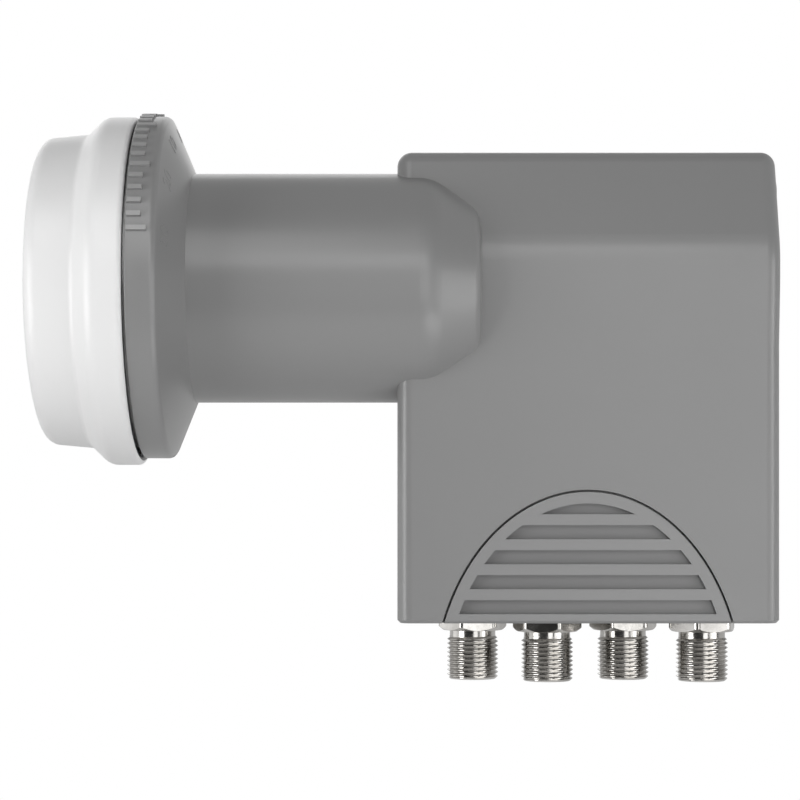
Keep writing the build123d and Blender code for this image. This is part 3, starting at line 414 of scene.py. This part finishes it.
def board_material():
    """Green solder mask with pale copper runs just under it."""
    material, tree, shader = node_material("board green")
    bricks = tree.nodes.new("ShaderNodeTexBrick")
    turn = tree.nodes.new("ShaderNodeMapping")
    turn.inputs["Rotation"].default_value = (radians(90), 0, 0)
    bricks.inputs["Scale"].default_value = BOARD_SCALE
    bricks.inputs["Mortar Size"].default_value = BOARD_RUN_WIDTH
    bricks.inputs["Color1"].default_value = BOARD_MASK[0]
    bricks.inputs["Color2"].default_value = BOARD_MASK[1]
    bricks.inputs["Mortar"].default_value = BOARD_RUNS
    tree.links.new(own_place(tree), turn.inputs["Vector"])
    tree.links.new(turn.outputs["Vector"], bricks.inputs["Vector"])
    tree.links.new(bricks.outputs["Color"], shader.inputs["Base Color"])
    shader.inputs["Roughness"].default_value = BOARD_ROUGHNESS
    bump(tree, shader, bricks.outputs["Fac"], BOARD_STRENGTH, BOARD_RUN_HEIGHT)
    return material


def make_materials():
    """One material for each slot of the record."""
    materials = {
        "shell_grey": shell_plastic(),
        "cap_white": cap_plastic(),
        "board_green": board_material(),
    }
    for slot_name, values in METALS.items():
        materials[slot_name] = metal(slot_name.replace("_", " "), *values)
    for slot_name, values in SOLIDS.items():
        materials[slot_name] = plain_solid(slot_name.replace("_", " "), *values)
    return materials


def dress_nodes(frame, materials):
    """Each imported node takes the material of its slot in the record, the sleeve its own."""
    slots = {row["node"]: row["material_slot"] for row in frame["record"]["subparts"]}
    own = {"weather_slider": sleeve_plastic()}
    for name, node in frame["nodes"].items():
        for material_slot in node.material_slots:
            material_slot.material = own.get(name, materials[slots[name]])


# Pieces


def mesh_piece(name, mesh, material, body):
    """A finished mesh as a piece that rides on a body."""
    piece = bpy.data.objects.new(name, mesh)
    bpy.context.scene.collection.objects.link(piece)
    piece.data.materials.append(material)
    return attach(piece, body)


def thread_radius(phase):
    """Radius of the thread by the phase along its pitch: root, flank, crest, flank."""
    climb = (phase - THREAD_ROOT_FLAT / 2) / THREAD_FLANK
    fall = (1 - THREAD_ROOT_FLAT / 2 - phase) / THREAD_FLANK
    share = max(0, min(climb, fall, 1))
    return THREAD_ROOT_R + share * (THREAD_CREST_R - THREAD_ROOT_R)


def thread_rings(low, high):
    """Rings of (radius, height) by column, from the free end up. Each ring climbs one
    pitch a turn, and is cut off at both ends, where the thread runs out."""
    shares = [step / THREAD_FLANK_STEPS for step in range(THREAD_FLANK_STEPS + 1)]
    climb = [THREAD_ROOT_FLAT / 2 + THREAD_FLANK * share for share in shares]
    phases = climb + [1 - phase for phase in reversed(climb)]
    turns = int((high - low) / THREAD_PITCH) + 2
    rings = []
    for turn in range(-1, turns):
        for phase in phases:
            ring = []
            for column in range(THREAD_COLUMNS + 1):
                height = low + THREAD_PITCH * (turn + phase + column / THREAD_COLUMNS)
                height = min(max(height, low), high)
                radius = thread_radius(phase)
                radius = min(radius, THREAD_ROOT_R + (height - low))
                radius = min(radius, THREAD_ROOT_R + (high - height))
                ring.append((radius, height))
            rings.append(ring)
    return rings


def hexagon_radius(angle, turn):
    """Distance to the hexagon's side at an angle, with its corners turned round."""
    off = (angle - turn + pi / 6) % (pi / 3) - pi / 6
    return min(HEX_FLATS / 2 / cos(off), HEX_CORNER_R)


def output_mesh(name, centre, low, top, hex_bottom, hex_top, turn):
    """One output: bore, lip, thread, relief, chamfered hexagon and shank, as rings of
    (radius, height) that are joined column by column."""
    columns = THREAD_COLUMNS
    angles = [2 * pi * column / columns for column in range(columns + 1)]
    face = turn - pi / 2

    def ring(radius, height):
        return [(radius, height)] * (columns + 1)

    rings = [
        ring(BORE_R, top),
        ring(BORE_R, low + LIP_CHAMFER),
        ring(BORE_R + LIP_CHAMFER, low),
    ]
    rings += thread_rings(low, hex_bottom - RELIEF_LENGTH)
    rings.append(ring(THREAD_ROOT_R, hex_bottom))
    rings.append(ring(HEX_FLATS / 2 - HEX_FACE_INSET, hex_bottom))
    sides = [hexagon_radius(angle, face) for angle in angles]
    slope = HEX_CHAMFER / (HEX_CORNER_R - HEX_FLATS / 2)
    edge = hex_bottom + HEX_FACE_STEP
    rings.append([(side, edge + slope * (side - HEX_FLATS / 2)) for side in sides])
    rings.append([(side, hex_top) for side in sides])
    rings += [ring(SHANK_R, hex_top), ring(SHANK_R, top)]

    shape = bmesh.new()
    rows = []
    for ring_points in rings:
        row = []
        for angle, (radius, height) in zip(angles, ring_points):
            point = Vector((radius * cos(angle), radius * sin(angle), height)) + centre
            row.append(shape.verts.new(point))
        rows.append(row)
    rows.append(rows[0])
    for lower, upper in zip(rows, rows[1:]):
        for column in range(columns):
            corners = (lower[column], lower[column + 1], upper[column + 1], upper[column])
            shape.faces.new(corners)
    bmesh.ops.remove_doubles(shape, verts=shape.verts, dist=WELD)
    bmesh.ops.dissolve_degenerate(shape, edges=shape.edges, dist=WELD)
    bmesh.ops.recalc_face_normals(shape, faces=shape.faces)
    mesh = bpy.data.meshes.new(name)
    shape.to_mesh(mesh)
    shape.free()
    mesh.shade_smooth()
    mesh.set_sharp_from_angle(angle=radians(SHARP_DEG))
    return mesh


def make_outputs(frame, materials):
    """Threaded outputs in the place of the plain solids."""
    hex_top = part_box("chamber_casting")[0].z
    for index, turn in enumerate(HEX_TURNS_DEG, start=1):
        node = f"output_body_{index}"
        low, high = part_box(node)
        centre = Vector(((low.x + high.x) / 2, (low.y + high.y) / 2, 0))
        hex_bottom = hex_top - HEX_THICK
        name = f"threaded_output_{index}"
        mesh = output_mesh(name, centre, low.z, high.z, hex_bottom, hex_top, radians(turn))
        body = frame["nodes"][node]["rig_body"]
        piece = mesh_piece(name, mesh, materials["plated_nickel"], body)
        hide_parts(node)


def cone_x(radius):
    """X of the flange's cone at a radius."""
    share = (CONE_CORNER[1] - radius) / (CONE_CORNER[1] - CONE_NECK[1])
    return CONE_CORNER[0] + share * (CONE_NECK[0] - CONE_CORNER[0])


def make_numerals(frame, materials):
    """Raised numbers beside the long marks of the scale, on the cone behind them."""
    lean = atan2(CONE_NECK[0] - CONE_CORNER[0], CONE_CORNER[1] - CONE_NECK[1])
    meshes = []
    for step in range(-SCALE_STEPS, SCALE_STEPS + 1):
        text = bpy.data.curves.new("numeral", "FONT")
        text.body = str(abs(step) * SCALE_COUNTS)
        text.size = NUMERAL_HEIGHT * TYPE_SHARE
        text.extrude = NUMERAL_RAISE
        text.align_x = "CENTER"
        text.align_y = "CENTER"
        text.resolution_u = NUMERAL_CURVE_STEPS
        holder = bpy.data.objects.new("numeral", text)
        bpy.context.scene.collection.objects.link(holder)
        bpy.context.view_layer.update()
        mesh = bpy.data.meshes.new_from_object(holder)
        bpy.data.objects.remove(holder)
        angle = radians(step * SCALE_EVERY_DEG + SCALE_TURN_DEG)
        out = Vector((0, -sin(angle), cos(angle)))
        normal = Vector((cos(lean), 0, 0)) + out * sin(lean)
        up = (out * cos(lean) - Vector((sin(lean), 0, 0))).normalized()
        side = up.cross(normal)
        place = Vector((cone_x(NUMERAL_RADIUS), 0, 0)) + out * NUMERAL_RADIUS
        turn = Matrix((side, up, normal)).transposed().to_4x4()
        mesh.transform(Matrix.Translation(place) @ turn)
        meshes.append(mesh)
    shape = bmesh.new()
    for mesh in meshes:
        shape.from_mesh(mesh)
        bpy.data.meshes.remove(mesh)
    bmesh.ops.remove_doubles(shape, verts=shape.verts, dist=WELD)
    joined = bpy.data.meshes.new("scale_numerals")
    shape.to_mesh(joined)
    shape.free()
    body = frame["nodes"]["front_shroud"]["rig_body"]
    mesh_piece("scale_numerals", joined, materials["shell_grey"], body)


# Studio


def make_lamps():
    """Rectangular lamps that the camera doesn't see."""
    for name, (azimuth, elevation, distance, size, power) in LAMPS.items():
        lamp = bpy.data.lights.new(name, "AREA")
        lamp.shape = "RECTANGLE"
        lamp.size, lamp.size_y = size
        lamp.energy = power
        holder = bpy.data.objects.new(name, lamp)
        bpy.context.scene.collection.objects.link(holder)
        az, el = radians(azimuth), radians(elevation)
        way = Vector((sin(az) * cos(el), -cos(az) * cos(el), sin(el)))
        holder.location = LAMP_TARGET + distance * way
        holder.rotation_euler = way.to_track_quat("Z", "Y").to_euler()
        holder.visible_camera = False


def make_world():
    """White to the camera and through glass. Gloss sees it dim in front and pale behind,
    and it lights the part weakly from all sides."""
    world = bpy.data.worlds.new("studio")
    bpy.context.scene.world = world
    world.use_nodes = True
    tree = world.node_tree
    place = tree.nodes.new("ShaderNodeTexCoord").outputs["Generated"]
    depth = axes(tree, place)["Y"]
    room = tree.nodes["Background"]
    room.inputs["Color"].default_value = (1, 1, 1, 1)
    tree.links.new(remap(tree, depth, *ROOM_LIGHT), room.inputs["Strength"])
    mirrored = tree.nodes.new("ShaderNodeBackground")
    tree.links.new(remap(tree, depth, *MIRRORED_LIGHT), mirrored.inputs["Strength"])
    seen = tree.nodes.new("ShaderNodeBackground")
    seen.inputs["Color"].default_value = (1, 1, 1, 1)
    seen.inputs["Strength"].default_value = 1.0
    path = tree.nodes.new("ShaderNodeLightPath").outputs
    glossy = tree.nodes.new("ShaderNodeMixShader")
    tree.links.new(path["Is Glossy Ray"], glossy.inputs["Fac"])
    tree.links.new(room.outputs["Background"], glossy.inputs[1])
    tree.links.new(mirrored.outputs["Background"], glossy.inputs[2])
    straight = calculate(tree, "MAXIMUM", path["Is Camera Ray"], path["Is Transmission Ray"])
    final = tree.nodes.new("ShaderNodeMixShader")
    tree.links.new(straight, final.inputs["Fac"])
    tree.links.new(glossy.outputs["Shader"], final.inputs[1])
    tree.links.new(seen.outputs["Background"], final.inputs[2])
    tree.links.new(final.outputs["Shader"], tree.nodes["World Output"].inputs["Surface"])


def make_floor():
    """A round pale floor. A little light of its own, only as it is seen, takes it to
    white, and the part's shadow still shows on it."""
    mesh = bpy.data.meshes.new("floor")
    shape = bmesh.new()
    bmesh.ops.create_circle(shape, cap_ends=True, segments=FLOOR_SIDES, radius=FLOOR_RADIUS)
    shape.to_mesh(mesh)
    shape.free()
    floor = bpy.data.objects.new("floor", mesh)
    bpy.context.scene.collection.objects.link(floor)
    floor.location = (FLOOR_MIDDLE_X, 0, -FLOOR_DROP)
    material, tree, shader = node_material("floor")
    shader.inputs["Base Color"].default_value = (*grey(FLOOR_GREY), 1)
    shader.inputs["Roughness"].default_value = FLOOR_ROUGHNESS
    shader.inputs["Emission Color"].default_value = (1, 1, 1, 1)
    path = tree.nodes.new("ShaderNodeLightPath").outputs
    seen = calculate(tree, "ADD", path["Is Camera Ray"], path["Is Glossy Ray"])
    seen = calculate(tree, "ADD", seen, path["Is Transmission Ray"])
    glow = calculate(tree, "MULTIPLY", seen, FLOOR_GLOW)
    tree.links.new(glow, shader.inputs["Emission Strength"])
    floor.data.materials.append(material)


def make_camera():
    camera = bpy.data.cameras.new("camera")
    camera.lens = CAMERA_LENS_MM
    camera.sensor_width = CAMERA_SENSOR_MM
    camera.shift_y = CAMERA_SHIFT_Y
    camera.clip_start = CAMERA_NEAR
    holder = bpy.data.objects.new("camera", camera)
    bpy.context.scene.collection.objects.link(holder)
    holder.location = CAMERA_PLACE
    holder.rotation_euler = (radians(90), 0, 0)
    bpy.context.scene.camera = holder


def corners(box):
    return [list(corner) for corner in box]


bpy.ops.object.select_all(action="SELECT")
bpy.ops.object.delete()
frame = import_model()
materials = make_materials()
dress_nodes(frame, materials)
make_outputs(frame, materials)
make_numerals(frame, materials)
make_camera()
make_lamps()
make_world()
make_floor()
bpy.context.scene.view_settings.view_transform = "Standard"
